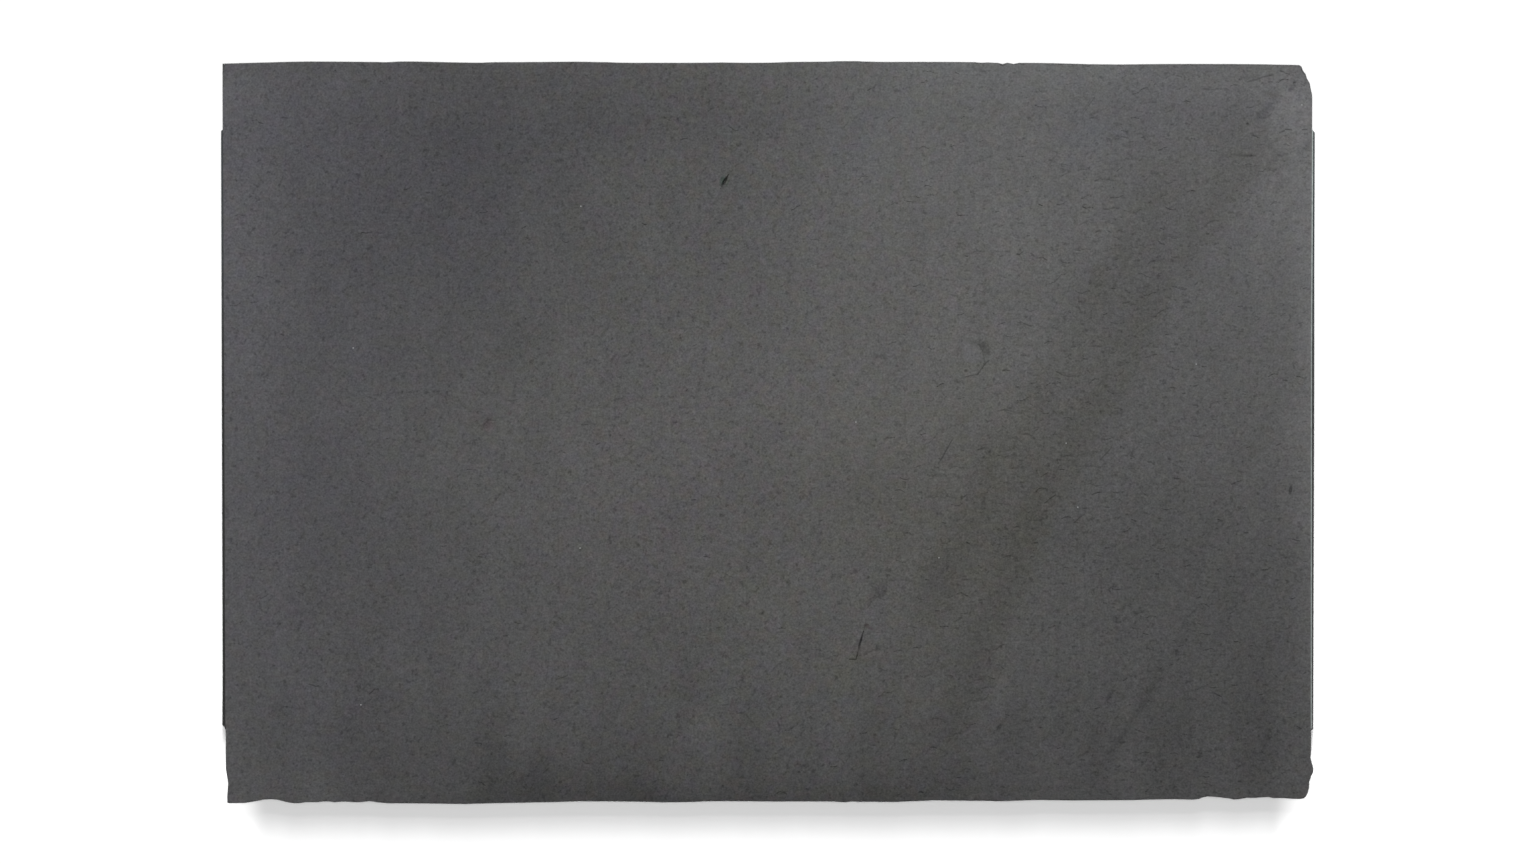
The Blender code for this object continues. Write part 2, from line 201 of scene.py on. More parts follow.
# Joints between the laminae, from the back up. The node has ledges at some of them.
JOINTS = [6.0, 10.0, 14.0, 16.2, 18.5, 21.2, 24.0]
JOINT_GAP = 0.6
BACK_ARRIS = 1.6
FINE_RAGGED = 1.6 * MM
LAMINA_WEAR = (0.45, 0.7, 0.35)  # shares of that: the mean, and long and short waves of it
CORNER_Y = 0.826  # the sawn sides end here, and the split top edge at TOP_X
TOP_X = 1.31
SIDE_NORMAL, TOP_NORMAL = 0.97, 0.9  # the least x and y of the outward normals there
SAWN_ROUGH, SPLIT_ROUGH, BROKEN_ROUGH = 0.05, 0.6, 1.0
LEDGE_SPAN = (-0.734, 0.7475)
LEDGE_END = 6 * MM  # over which the arris over it comes in at both ends
LEDGE_TOP = 14.6 * MM
NODE_ARRIS = 2.2 * MM  # the node's own flank ends this far below its face
PROBE = 20 * MM  # the node's flank is looked for from this far outside
LIP_SPAN = (-0.728, 0.733)  # between these the node's lips have their full reach
LIP_REACH = (1.3 * MM, 1.9 * MM)  # how far the lips stand out past the node's, left and right
RIGHT_LIP_ROOM = 2.5 * MM  # closer than this to the CAD box's side, the right lip's reach fades,
LEAST_REACH = 0.42  # though to no less than this share of it
# The ledges below the face's rim are darkened with painted shade, which the mesh carries.
LEFT_LEDGE_SHADES = (1.05, 0.48)  # the left ledge's painted shade, low down and high up
LEFT_SHADE_SPAN = (0.06, 0.40)
RIGHT_LEDGE_SHADE = 0.56
# The arris over the right ledge, which carries a painted highlight, stands out past the node's
# flank: (low down, high up).
ARRIS_REACH = (2.5 * MM, 3.3 * MM)
ARRIS_SPAN = (0.05, 0.70)
ARRIS_WIDTH = (0.8, 0.5, 0.7)  # in mm: everywhere, more on rough edges, and its waves there
ARRIS_DROP = (0.6 * MM, 0.6)  # it goes down this far, and by this share of its width
ARRIS_BULGE = (0.35, 0.4)  # halfway, it is so far in and down
NIBBLE_COUNT = 420
NIBBLE_LENGTH = (4 * MM, 22 * MM)
NIBBLE_DEPTH = (0.6 * MM, 2.6 * MM)

BACK_SPACING = 80 * MM
BACK_MARGIN = 12 * MM
CREASE = 12.0  # edges sharper than this, in degrees, stay crisp

# Material numbers.
FACE, EDGE, ARRIS, BACK = range(4)

# --- Colours ---

STONE = (0.0578, 0.0580, 0.0584)
LEVEL = 84.0  # the face's mean grey, to which the amounts below are added
LIGHTNESS_POWER = 2.22

# Soft areas of the face: (x, y, half length, half width, amount, turn, soft share), in mm and
# degrees. The amount is in grey levels, one number or red, green and blue. Where a row leaves
# them out, the turn is 0 and the area is soft right to its middle.
AREAS = [
    # the bright upper right, and its tail to the lower left
    (620, 760, 940, 660, 14), (560, 300, 560, 360, (8, 8, 7.5), 62),
    (60, 200, 900, 420, (6.5, 6, 5.8), 25), (200, 330, 230, 640, (3.2, 3.2, 2.8), -8),
    (330, 770, 420, 230, (3.4, 3.4, 3.2)), (480, 130, 560, 200, (3.4, 3.4, 3)),
    # the dark, bluish upper left, which ends at an upright line
    (-900, 480, 350, 560, (-2.6, -2.6, -1.8), 0, 0.45), (-900, 560, 480, 560, (-5, -5.2, -2.8)),
    (-600, 740, 420, 260, (-4, -4, -2.6)), (-640, 560, 430, 420, (-4, -4, -3.2)),
    (-300, 770, 900, 120, (-4, -4, -3.2)),
    # pale margins
    (-1380, 500, 260, 800, (6.6, 6.6, 9.4)), (-1190, -60, 360, 1150, (0, -0.3, 2.6)),
    (1400, 640, 320, 720, (18, 18, 18.5)), (1150, 560, 330, 520, (7, 7, 7.8)),
    (1370, 60, 120, 800, 19), (1290, 860, 160, 160, (6, 6, 6.5)),
    (-40, 960, 1500, 75, (5, 5, 5.3)),
    # right of the band
    (1080, 200, 300, 420, 4, 20), (1120, -640, 620, 660, (-12.5, -12.5, -12.4)),
    (700, -420, 360, 300, (-3.4, -3.4, -3.6)),
    # the bottom and the left
    (0, -990, 2100, 620, -16), (-60, -935, 1000, 110, -6), (-300, -940, 1150, 95, -10),
    (1345, -620, 130, 460, 7), (-980, -420, 560, 620, (-7.5, -7.7, -6)),
    (-860, -860, 760, 320, (-3.5, -3.5, -3)), (-330, -480, 420, 260, -4.6),
    (-1140, 30, 240, 360, (-3.2, -3.2, -3)), (-960, -730, 460, 240, -3),
    # along the top and the bottom
    (730, 930, 860, 155, 12), (-400, 880, 330, 80, (-2.5, -2.5, -2.2)),
    (1180, 860, 130, 80, (4, 4, 4.2)), (-1290, 860, 130, 110, (6, 6, 6.5)),
    (-640, 880, 260, 90, -4.5), (-590, -860, 200, 110, -8), (-480, -880, 420, 110, -3.5),
    (300, -870, 420, 110, -4.5), (480, -890, 480, 100, -3),
    # lesser lights and darks of the middle
    (220, -10, 300, 140, (3.2, 3.2, 2.8)), (650, 20, 200, 120, (2.5, 2.5, 2.2)),
    (120, 560, 380, 170, (2, 2, 2.3)), (940, -230, 330, 170, -3.5), (1290, 110, 110, 320, 3),
    (-1230, -680, 170, 160, -3), (-610, 230, 130, 150, (-2.6, -2.6, -2.4)),
    (820, 180, 260, 230, 3), (360, -60, 180, 130, (2.2, 2.2, 2.4)), (380, -640, 260, 110, 3.4),
    (-640, -320, 560, 160, -1.5), (1130, -560, 260, 170, -1.5),
    (560, 890, 760, 160, (-0.6, 0.3, 0.6)), (787, 722, 130, 110, (-1, 0, 2.6)),
    (1000, 430, 260, 150, (0, 0, 1.4), 58), (220, 730, 130, 140, (-0.8, 0, 2.4)),
    (380, 10, 180, 100, 2), (455, -300, 230, 85, (-4, -4, -3.8), 58),
    (430, -400, 120, 70, -1.5, 30), (-500, -50, 100, 100, 2.5), (1165, -370, 110, 230, -4),
    (720, -275, 130, 85, -3.5), (827, -613, 120, 90, -3.2), (1158, -830, 110, 90, -3.2),
    (383, 610, 120, 120, 3), (1047, 850, 120, 80, 3), (950, -330, 160, 160, -2.2),
    (-170, -725, 110, 100, 2.5), (650, -700, 210, 140, -4.2),
    # lesser ones towards the edges
    (-1056, 850, 110, 90, 3.2), (160, 850, 110, 90, 2.6), (-170, 850, 110, 90, -2.8),
    (827, 850, 110, 90, -2.4), (935, 619, 110, 110, -3), (530, 400, 140, 210, -2.6),
    (-281, -190, 150, 120, -2.4), (860, -838, 130, 90, 3.4), (1265, -838, 100, 90, 2.2),
    (1110, -580, 170, 130, 2.4), (-945, -724, 110, 100, 2.8), (272, -838, 110, 90, 2.4),
    # where the stone is bluer or browner
    (-1180, 800, 320, 270, (0, -0.2, 2.8)), (960, 800, 320, 190, (0, 0, 1.6)),
    (-1090, -400, 280, 300, (0, 0, -1.5)), (-60, -400, 220, 260, (0, 0, -1.7)),
    (-1200, 60, 200, 220, (0, 0, -0.9)),
    # the olive middle, pinkish on its left
    (420, -200, 560, 380, (1.8, 1.2, -1.5), 60), (180, -130, 260, 420, (0.2, 0, -1.2)),
    (640, -230, 190, 90, (-3, -3, -3.6), 60), (-290, -220, 480, 420, (1.4, 0.3, 0.7)),
    (180, -560, 160, 90, (0.5, 0, -2.5), 20),
]

# Small marks, in the same terms as the areas.
MARKS = [
    # the pale flake at the bottom, and a smaller one by it
    (-148, -746, 80, 84, 6, 0, 0.8), (-128, -815, 50, 42, 3.5, 0, 0.9),
    (-112, -668, 44, 26, 4, 30, 0.9), (-92, -672, 26, 6, (-7, -9, -8), 68, 0.9),
    (575, -645, 26, 84, 3.5, -14, 0.9),
    # round the gouge
    (-114, 622, 18, 9, (-24, -14, -17), 68, 0.8), (-101, 615, 13, 6, (-12, -7, -11), 66, 0.9),
    # the flake scar
    (503, 196, 38, 30, (5.5, 5.5, 6.2), 100, 0.6), (533, 213, 31, 20, -11, -54, 0.7),
    (541, 196, 26, 12, -8, 95, 0.7), (488, 153, 6, 5.5, -30, 0, 0.8),
    # round the crack
    (268, -450, 110, 60, (0, 0, 2.2), 75, 0.9), (243, -475, 9, 8, (-22, -28, -26), 0, 0.9),
    (254, -484, 16, 6, (-11, -17, -14), -35, 0.9), (280, -386, 34, 24, -7.5, 60),
    (259, -382, 28, 10, -6, -35), (264, -408, 50, 20, -5, 42), (295, -352, 7, 6, -24, 0, 0.9),
    # the small scar
    (-690, 18, 26, 21, (-1, -6, -4.5), 25, 0.7), (-722, 41, 22, 17, (0, -3.5, -2.5), 90, 0.7),
    (-638, 48, 10, 8, (-12, -18, -16), 60, 0.9),
    # the lost corner: its crease, its pale floor and dark specks
    (1290, 770, 108, 62, (9, 9, 9.5), 72, 0.4), (1228, 796, 50, 20, (-11, -10.5, -8.5), 47, 0.9),
    (1248, 834, 38, 13, (-14, -15, -17), -18, 0.9), (1300, 862, 12, 9, (-21, -21, -20), 58, 0.9),
    (1292, 850, 12, 8, (-21, -21, -20), 40, 0.9), (1258, 722, 12, 6, -12, 50, 0.9),
    # dark streaks at the lower right
    (843, -650, 30, 9, (-16, -16, -15.5), 63, 0.9), (928, -665, 180, 16, (-9, -9, -8.5), 57),
    (874, -764, 13, 5, -28, -10, 0.9), (849, -788, 130, 20, -8, 57),
    (572, -727, 15, 6, -22, 62, 0.9), (1066, -793, 26, 8, -12, 75, 0.9),
    (1008, -540, 11, 9, -13, 0, 0.9), (1232, -757, 46, 16, -8, 75),
]

# The brown band: its middle line is x = a + b y + c y^2, in metres. Each strip of it lies between
# two soft edges at offsets from that line: (left from, to, right from, to, red, green, blue).
BAND_LINE = (0.730, 0.527, 0.129)
BAND_STRIPS = [
    (-0.195, -0.13, 0.075, 0.13, -4.4, -4.5, -5.6),
    (-0.04, 0.035, 0.055, 0.10, -2.4, -2.5, -3.4),
]
BAND_TOP = (0.84, 0.60)
BAND_BOTTOM = (-0.90, -0.60)

# Dark fingers that reach up the face from its lower edge: (x, half width, top, amount), in mm.
FINGERS = [
    (-686, 60, -560, -4), (-560, 45, -620, -3), (-410, 50, -600, -3), (-290, 60, -560, -4),
    (-60, 70, -640, -4), (250, 60, -600, -4), (620, 90, -560, -3), (820, 60, -560, -3),
    (1190, 80, -480, -3),
]
FINGER_FOOT = -860

# Sparse patches of tint: (noise offset, size in m, from, to, (red, green, blue)).
TINT_PATCHES = [
    ((4, 0, 0), 0.040, 0.11, 0.16, (0.4, -0.5, 1.9)),
    ((0, 8, 0), 0.036, 0.06, 0.11, (0.3, 0.3, -2.4)),
    ((6, 2, 0), 0.036, 0.09, 0.14, (2.0, -0.4, 0.2)),
    ((2, 6, 0), 0.040, 0.14, 0.19, (-0.8, 0.3, 0.4)),
]
TINT_DRIFTS = [
    ((4, 5, 0), 0.050, (0, -2.2, 0)),
    ((5, 5, 0), 0.040, (0, 0, 2.8)),
]
# Where the tints show: (from x, to x, strength before, strength after), and the two multiply.
TINTS_FROM_LEFT = (-0.9, -0.1, 0.68, 1.0)
TINTS_TO_RIGHT = (-0.1, 0.95, 1.0, 0.52)

# The areas and the band are bent by noise, and so are the marks: (size, reach), in metres.
BENDS = [(0.30, 0.09), (0.07, 0.03)]
MARK_BEND = (14 * MM, 10 * MM)

# Layers of noise: (grey levels, size in m, detail, roughness, stretch).
FINE_GRAIN = (43.5, 5 * MM, 1.0, 0.6)
COARSE_GRAIN = (27.0, 15 * MM, 2.0, 0.6)
CLOUDS = (11.0, 0.11, 3.0, 0.6, (1.6, 0.8, 1.0))
STREAKS = (14.0, 0.13, 1.0, 0.5, (1.0, 0.18, 1.0))
STREAKS_SPAN = (-0.42, -0.75)  # they grow downwards between these two y
WISPS = (7.0, 0.045, 2.0, 0.6, (0.25, 1.0, 1.0))
WISP_TURN = 60.0
FLANK_LAYERS = (30.0, 0.06, 3.0, 0.6, (1.0, 1.0, 30.0))
SAW_LINES = (12.0, 0.016, 2.0, 0.6, (0.03, 1.0, 1.0))
BACK_CLOUDS = (18.0, 0.35, 3.0, 0.6)
BACK_PALENESS = (14.0, 14.0, 15.0)
# Blots are the peaks of a noise: (grey levels, size in m, from, to, stretch). The small ones
# slant on the left and lie level on the right of the face.
SLANTED_BLOTS = (-12.0, 8 * MM, 0.08, 0.24, (0.75, 1.05, 1.0))
LEVEL_BLOTS = (-12.0, 8 * MM, 0.08, 0.24, (0.6, 1.1, 1.0))
ROUND_BLOTS = (-13.5, 13 * MM, 0.12, 0.26)
BLOT_TURN = 52.0
BLOT_SPAN = (-0.1, 0.9)

# The grain is strongest in this area (as above, but with no amount), and weakest outside it.
GRAIN_AREA = (150, -50, 1150, 1150, 0, 0.75)
GRAIN_STRENGTHS = (0.94, 1.07)

# What a darkness of 1, the painted shade that the mesh carries, takes off the colour, the darkest
# that the face gets, and its grains.
SHADE = -0.72
LEAST_LIGHT = 0.12
GRAIN_COLOUR = (0.42, 0.43, 0.43, 1)

# The painted highlight on the right arris: where it grows paler, between which greys, its chips
# and tint.
HIGHLIGHT_SPAN = (0.10, 0.55)
HIGHLIGHT_GREYS = (0.27, 0.34)
HIGHLIGHT_CHIPS = (0.9, 12 * MM, 2.0, 0.7)
HIGHLIGHT_TINT = (0.90, 1.0, 0.965)

# The ledges are teal towards the top of the face. Their painted shade, a darkness over
# LEDGE_SHADES, tells them apart.
LEDGE_TINT = (0.86, 1.0, 1.08, 1.0)
LEDGE_SHADES = (0.1, 0.3)
TEAL_SPAN = (0.05, 0.62)

# Surfaces: the roughness (mean, spread, size of its clouds), the bumps (height, strength), and
# the layers of noise in them, with a share of the height first.
FACE_SURFACE = ((0.62, 0.16, 9 * MM), (0.55 * MM, 0.8),
                (1.0, 5 * MM, 3.0, 0.7), (1.6, 22 * MM, 2.0, 0.6))
EDGE_SURFACE = ((0.66, 0.2, 9 * MM), (0.8 * MM, 0.8),
                (1.0, 4 * MM, 3.0, 0.7, (1.0, 1.0, 5.0)), (1.0, 15 * MM, 2.0, 0.6, (1.0, 1.0, 8.0)))
ARRIS_SURFACE = ((0.7, 0.2, 9 * MM), (0.6 * MM, 0.8), (1.0, 4 * MM, 3.0, 0.7))
BACK_SURFACE = ((0.7, 0.15, 20 * MM), (0.3 * MM, 0.7), (1.0, 0.016, 2.0, 0.6, (0.03, 1.0, 1.0)))
SPECULAR = 0.3

# --- Light ---

OVERHEAD_STRENGTH = 1.88
OVERHEAD_SPREAD = 20.0
KEY_ON_FLOOR = 1.50  # what the key lights add to the floor together, in watts per square metre
KEY_ELEVATIONS = (37.0, 27.7, 22.4, 19.0, 15.6)
KEY_SPREAD = 8.0
ROOM_LIGHT = 0.12
# Two small spots lift the ends of the shadow on the floor: where they point, how wide and bright.
CORNER_FILLS = [(-1.461, -0.961), (1.468, -0.961)]
FILL_RADIUS = 0.227
FILL_BLEND = 0.6
FILL_HEIGHT = 2.0
FILL_POWER = 80.0
FLOOR_COLOUR = (0.90, 0.90, 0.90)
FLOOR_SIZE = 120.0
FLOOR_GAP = 0.2 * MM


def smooth(t):
    """0 up to t = 0, 1 from t = 1, and an S-curve between."""
    t = min(max(t, 0.0), 1.0)
    return t * t * (3 - 2 * t)


def wave(x, y, size, plane):
    """Smooth noise round 0 with waves of about that size, different in each plane."""
    return noise.noise(Vector((x / size, y / size, plane)))


def unit(turn):
    """The cosine and sine of a turn in degrees."""
    return math.cos(math.radians(turn)), math.sin(math.radians(turn))


def new_object(name, data):
    made = bpy.data.objects.new(name, data)
    bpy.context.scene.collection.objects.link(made)
    return made


# --- Relief of the face ---


def in_hollow(x, y, hollow):
    """How deep (x, y) lies in a hollow, from 0 on its rim to 1, and its place across it."""
    cx, cy, half_length, half_width, turn = hollow[:5]
    c, s = unit(turn)
    dx, dy = x - cx * MM, y - cy * MM
    along = (dx * c + dy * s) / (half_length * MM)
    across = (dy * c - dx * s) / (half_width * MM)
    return smooth((1 - math.hypot(along, across)) / hollow[6]), across


def spall_drop(x, y):
    """How far the lost corner flake lowers the face at (x, y)."""
    start, end = (Vector(p) * MM for p in SPALL_LINE)
    run = (end - start).normalized()
    offset = Vector((x, y)) - start
    beyond = run.x * offset.y - run.y * offset.x
    past_end = offset.dot(run) - (end - start).length
    fade = 1 - smooth(past_end / SPALL_FADE)
    fade *= smooth(2 - beyond / SPALL_REACH)
    return min(max(beyond, 0.0) * SPALL_SLOPE, SPALL_DEPTH) * fade


def face_height(x, y):
    """The height of the split face over the back at (x, y), without its pits and lines."""
    height = cad_box[1].z - HIGHEST_SWELL
    for wavelength, swell, plane in SWELLS + RIPPLES:
        height += swell * wave(x, y, wavelength, plane)
    for hollow in HOLLOWS:
        depth, across = in_hollow(x, y, hollow)
        lean = hollow[7] * (0.5 + 0.5 * max(-1.0, min(1.0, across)))
        height -= hollow[5] * MM * depth * (1 - lean)
    return height - spall_drop(x, y)


def hollow_shade(x, y):
    """The painted shade of the hollows at (x, y): darker where they are deeper."""
    return max(min(1.0, 2 * in_hollow(x, y, hollow)[0]) * hollow[8] for hollow in HOLLOWS)


# --- Points of the face ---


class FacePoints:
    """Points of the face with their depth, darkness and paleness, and the room that each claims."""

    CELL = 30 * MM

    def __init__(self, rim, rim_normals):
        self.found = []
        self.rooms, self.rim_cells = {}, {}
        for point, normal in zip(rim, rim_normals):
            self.file_under(self.rim_cells, point, (point, normal))

    def cell(self, x, y):
        return math.floor(x / self.CELL), math.floor(y / self.CELL)

    def file_under(self, cells, place, item):
        cells.setdefault(self.cell(place[0], place[1]), []).append(item)

    def near(self, cells, x, y, reach=1):
        i, j = self.cell(x, y)
        for di in range(-reach, reach + 1):
            for dj in range(-reach, reach + 1):
                yield from cells.get((i + di, j + dj), ())

    def inside(self, x, y, margin):
        """Whether (x, y) is on the face and at least margin from its rim."""
        if abs(x) > cad_box[1].x or abs(y) > cad_box[1].y:
            return False
        here = Vector((x, y))
        nearest = min(self.near(self.rim_cells, x, y), key=lambda r: (r[0] - here).length_squared,
                      default=None)
        return nearest is None or (nearest[0] - here).dot(nearest[1]) > margin

    def is_free(self, x, y, radius):
        reach = 1 if radius < 0.5 * self.CELL else 2
        return all(math.hypot(x - ox, y - oy) > radius + other
                   for ox, oy, other in self.near(self.rooms, x, y, reach))

    def claim(self, x, y, radius):
        self.file_under(self.rooms, (x, y), (x, y, radius))

    def add(self, x, y, depth=0.0, shade=0.0, pale=0.0):
        self.found.append((x, y, depth, shade, pale))


def add_hollow(points, hollow):
    """Rings of points from the hollow's rim to its floor."""
    cx, cy, half_length, half_width, turn, _, wall = hollow[:7]
    c, s = unit(turn)
    count = max(10, round(math.pi * (half_length + half_width) / 4.5))
    rings = [1.12, 1.0] + [1 - wall * share for share in (0.2, 0.45, 0.7, 0.95)]
    for ring, radius in enumerate(rings):
        for k in range(count):
            angle = 2 * math.pi * (k + 0.5 * (ring % 2)) / count
            a, b = half_length * radius * math.cos(angle), half_width * radius * math.sin(angle)
            x, y = (cx + a * c - b * s) * MM, (cy + a * s + b * c) * MM
            if points.is_free(x, y, 0.0):
                points.add(x, y)
    points.add(cx * MM, cy * MM)


def claim_hollow(points, hollow):
    cx, cy, half_length, half_width, turn = hollow[:5]
    c, s = unit(turn)
    long_steps = max(1, round(half_length / max(half_width, 6)))
    for k in range(-long_steps, long_steps + 1):
        along = 0.8 * half_length * k / long_steps
        points.claim((cx + along * c) * MM, (cy + along * s) * MM, (half_width * 1.25 + 2) * MM)


def add_line(points, line):
    """Points down a crack's middle and along its lips, and one past each of its tips."""
    depth, *knots = line
    mean, swing = LINE_STRENGTH
    knots = [Vector(knot) * MM for knot in knots]
    spine = []
    for start, end in zip(knots, knots[1:]):
        steps = max(1, round((end.xy - start.xy).length / LINE_SPACING))
        spine += [start.lerp(end, k / steps) for k in range(steps)]
    spine.append(knots[-1])
    for i, knot in enumerate(spine):
        along = (spine[min(i + 1, len(spine) - 1)].xy - spine[max(i - 1, 0)].xy).normalized()
        side = Vector((-along.y, along.x))
        middle, half_width, darkness = knot.xy, knot.z, knot.w / MM
        middle += side * LINE_SWING * wave(middle.x, middle.y, 0.014, 2.2)
        if not points.inside(middle.x, middle.y, EDGE_MARGIN + 2 * MM):
            continue
        strength = mean + swing * wave(middle.x, middle.y, 0.03, 8.8)
        points.add(middle.x, middle.y, depth * MM * strength, darkness * strength)
        points.add(*(middle + side * half_width))
        points.add(*(middle - side * half_width))
        points.claim(middle.x, middle.y, half_width + LINE_ROOM)
        if i == 0:
            points.add(*(middle - along * LINE_TIP))
        if i == len(spine) - 1:
            points.add(*(middle + along * LINE_TIP))


def add_pit(points, rng, kind, x, y):
    """A spine whose darkness is partly painted shade and partly the stone's own dark fleck, with a
    ring of points round it. Returns whether there was room for it.
    """
    _, lengths, widths, turns, depths, shades = PITS[kind]
    length, width = rng.uniform(*lengths) * MM, rng.uniform(*widths) * MM
    along = Vector(unit(rng.uniform(*turns)))
    side = Vector((-along.y, along.x))
    phase = rng.uniform(0, 2 * math.pi)
    depth, shade = rng.uniform(*depths) * MM, rng.uniform(*shades)
    knots = max(1, round(length / PIT_KNOT))
    spine = []
    for k in range(knots):
        t = (k + 0.5) / knots - 0.5
        swing = PIT_BEND * length * math.sin(phase + 5 * t)
        swing += rng.uniform(-PIT_WOBBLE, PIT_WOBBLE) * width
        spine.append(Vector((x, y)) + along * t * length + side * swing)
    fits = all(points.inside(p.x, p.y, width + PIT_MARGIN)
               and points.is_free(p.x, p.y, width + PIT_GAP) for p in spine)
    if not fits:
        return False
    half_step = 0.5 * length / knots
    for k, knot in enumerate(spine):
        points.add(knot.x, knot.y, depth * rng.uniform(0.8, 1.1), shade * rng.uniform(0.75, 1.15))
        points.claim(knot.x, knot.y, max(half_step, width) + 1 * MM)
        swell = width * rng.uniform(0.35, 0.6)
        points.add(*(knot + side * swell))
        points.add(*(knot - side * swell * rng.uniform(0.8, 1.2)))
    for end, sign in ((spine[0], -1), (spine[-1], 1)):
        tip = end + along * sign * half_step
        points.add(*tip)
        for lean in (-1, 1):
            points.add(*(end + along * sign * half_step * 0.6 + side * lean * width * 0.38))
    return True


def pit_place(rng, kind):
    """Where a pit of that kind is tried next."""
    reach_x, reach_y = PIT_SPAN
    y = rng.uniform(-reach_y, reach_y)
    if kind == "fissure":
        a, b, c = BAND_LINE
        return a + b * y + c * y * y + rng.uniform(*ALONG_BAND), y
    on_right = rng.random() < RIGHT_SHARES[kind]
    return rng.uniform(*RIGHT_SIDE) if on_right else rng.uniform(-reach_x, reach_x), y


def add_pits(points):
    rng = random.Random(SEED)
    for kind in PITS:
        count = PITS[kind][0]
        made = tries = 0
        while made < count and tries < PIT_TRIES * count:
            tries += 1
            made += add_pit(points, rng, kind, *pit_place(rng, kind))


def add_grains(points):
    for x, y in GRAINS:
        points.add(x * MM, y * MM, depth=-GRAIN_RISE, pale=1.0)
        for k in range(5):
            angle = 2 * math.pi * k / 5 + 0.4
            corner = Vector((math.cos(angle), math.sin(angle))) * GRAIN_RADIUS
            points.add(x * MM + corner.x, y * MM + corner.y)
        points.claim(x * MM, y * MM, 2 * GRAIN_RADIUS)


def scattered(seed, spacing, low, high):
    """Places all over the slab, each somewhere between low and high of its own cell of a grid."""
    rng = random.Random(seed)
    columns, rows = (round(2 * side / spacing) for side in cad_box[1].xy)
    for i in range(columns):
        for j in range(rows):
            x = cad_box[0].x + (i + rng.uniform(low, high)) * spacing
            y = cad_box[0].y + (j + rng.uniform(low, high)) * spacing
            yield x, y


def add_filling(points):
    """Scattered points wherever there is still room, so that the face's swells show."""
    for x, y in scattered(SEED + 1, FILL_SPACING, 0.2, 0.8):
        if points.is_free(x, y, FILL_ROOM) and points.inside(x, y, EDGE_MARGIN):
            points.add(x, y)


# --- Flanks ---


def outline_at(mesh, height):
    """The node's outline at a height, counter-clockwise."""
    bm = bmesh.new()
    bm.from_mesh(mesh)
    bmesh.ops.remove_doubles(bm, verts=bm.verts, dist=0.002 * MM)
    everything = bm.verts[:] + bm.edges[:] + bm.faces[:]
    cut = bmesh.ops.bisect_plane(bm, geom=everything, plane_co=(0, 0, height), plane_no=(0, 0, 1),
                                 clear_inner=True, clear_outer=True)["geom_cut"]
    on_cut = {v for v in cut if isinstance(v, bmesh.types.BMVert)}
    vert = max(on_cut, key=lambda v: v.co.x)
    walked, before = [], None
    while vert is not None:
        walked.append(vert.co.xy)
        on_cut.discard(vert)
        ways = [e.other_vert(vert) for e in vert.link_edges]
        before, vert = vert, next((v for v in ways if v in on_cut and v is not before), None)
    bm.free()
    area = sum(a.x * b.y - b.x * a.y for a, b in zip(walked, walked[1:] + walked[:1]))
    return walked if area > 0 else walked[::-1]


def stations(outline):
    """The outline's points with more between them, so that none are further apart than STATION."""
    found = []
    for a, b in zip(outline, outline[1:] + outline[:1]):
        if (b - a).length < 0.5 * MM:
            continue
        pieces = max(1, math.ceil((b - a).length / STATION))
        found += [a.lerp(b, k / pieces) for k in range(pieces)]
    return found


def outward_normals(points):
    found = []
    for i, point in enumerate(points):
        along = (points[(i + 1) % len(points)] - points[i - 1]).normalized()
        found.append(Vector((along.y, -along.x)))
    return found


def is_sawn(point, normal):
    return abs(normal.x) > SIDE_NORMAL and abs(point.y) < CORNER_Y


def on_ledge(point, normal):
    return is_sawn(point, normal) and LEDGE_SPAN[0] < point.y < LEDGE_SPAN[1]


# The painted shade on a ledge: on the left it is darker low down.
def ledge_shade(point):
    if point.x > 0:
        return RIGHT_LEDGE_SHADE
    low, high = LEFT_LEDGE_SHADES
    return low + (high - low) * between(LEFT_SHADE_SPAN, point.y)


def raggedness(point, normal):
    """How rough the flank is there: sawn at the sides, split along the top, broken elsewhere."""
    if is_sawn(point, normal):
        return SAWN_ROUGH
    is_split = normal.y > TOP_NORMAL and abs(point.x) < TOP_X
    return SPLIT_ROUGH if is_split else BROKEN_ROUGH


def between(span, y):
    """How far y has come from the span's first value to its second, from 0 to 1."""
    return smooth((y - span[0]) / (span[1] - span[0]))


def arris_reach(point, normal):
    """How far the arris over the right ledge stands out past the node's flank."""
    if point.x < 0 or not on_ledge(point, normal):
        return 0.0
    ends = smooth(min(point.y - LEDGE_SPAN[0], LEDGE_SPAN[1] - point.y) / LEDGE_END)
    low, high = ARRIS_REACH
    return ends * (low + (high - low) * between(ARRIS_SPAN, point.y))


def flank_surface(solid, point, normal, height):
    """The point where the node's flank is met at that height, coming from outside."""
    on_lip = on_ledge(point, normal) and height < LEDGE_TOP
    start = Vector(point)
    if on_lip:
        start.y = min(max(start.y, LIP_SPAN[0]), LIP_SPAN[1])
    outside = start + normal * PROBE
    hit = solid.ray_cast(Vector((*outside, height)), Vector((*-normal, 0)), 3 * PROBE)[0]
    met = hit.xy if hit else point
    if not on_lip:
        return met + normal * arris_reach(point, normal)
    room = 1.0 if point.x < 0 else smooth((cad_box[1].x - met.x) / RIGHT_LIP_ROOM)
    room = max(room, LEAST_REACH)
    return Vector((met.x, point.y)) + normal * LIP_REACH[point.x > 0] * room


def lamina_wear(point, lamina, share):
    """How far a thin lamina stands back from the node's flank."""
    long_wave = wave(point.x, point.y, 0.045, 4.7 * lamina)
    short_wave = wave(point.x, point.y, 0.013, 9.1 * lamina)
    mean, long, short = LAMINA_WEAR
    return FINE_RAGGED * share * max(0.0, mean + long * long_wave + short * short_wave)


